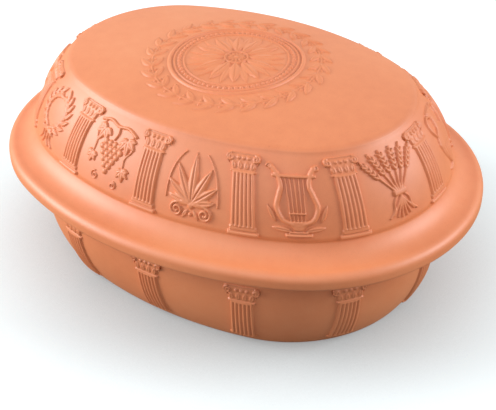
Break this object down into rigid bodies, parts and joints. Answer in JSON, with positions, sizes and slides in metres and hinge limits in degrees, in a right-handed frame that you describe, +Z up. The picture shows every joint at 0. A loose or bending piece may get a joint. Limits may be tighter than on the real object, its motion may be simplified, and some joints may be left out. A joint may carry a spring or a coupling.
{
  "type": "clay roaster",
  "caption": "Oval pot of unglazed terracotta with a domed lid whose brim hangs over the pot's rim, both carved with fluted columns, for roasting food in an oven",
  "frame": {"origin": "on the table, under the middle of the pot", "axes": "+X along the pot's length, +Y across it, +Z up"},
  "size_m": [0.345, 0.2606, 0.1522],
  "materials": {
    "terracotta": "matte, unglazed"
  },
  "bodies": {
    "root": {"lid": "terracotta", "pot": "terracotta"}
  },
  "joints": []
}
